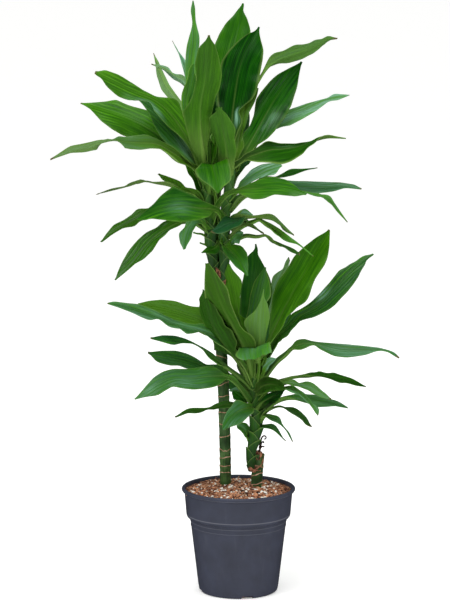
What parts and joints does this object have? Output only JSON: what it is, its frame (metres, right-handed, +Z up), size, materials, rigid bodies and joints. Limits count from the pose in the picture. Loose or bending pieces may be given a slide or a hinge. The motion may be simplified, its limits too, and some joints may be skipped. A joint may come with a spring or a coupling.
{
  "type": "potted corn plant",
  "caption": "Corn plant with long green strap leaves on a tall and a short cane, rooted together in a round slate-grey nursery pot.",
  "frame": {"origin": "middle of the pot's flat base, on the floor", "axes": "+Z up along the canes, -Y towards the side the plant is seen from, +X to the right from there"},
  "size_m": [0.6282, 0.417, 1.0896],
  "materials": {
    "pot_plastic": "matte",
    "potting_mix": "matte",
    "cane": "satin",
    "dried_sheath": "matte",
    "leaf": "gloss"
  },
  "bodies": {
    "root": {"pot": "pot_plastic", "potting_mix": "potting_mix", "tall_cane": "cane", "tall_cane_stub": "dried_sheath", "tall_left_shoot": "leaf", "tall_right_shoot": "leaf", "short_cane": "cane", "short_cane_husk": "dried_sheath", "short_shoot": "leaf"}
  },
  "joints": []
}
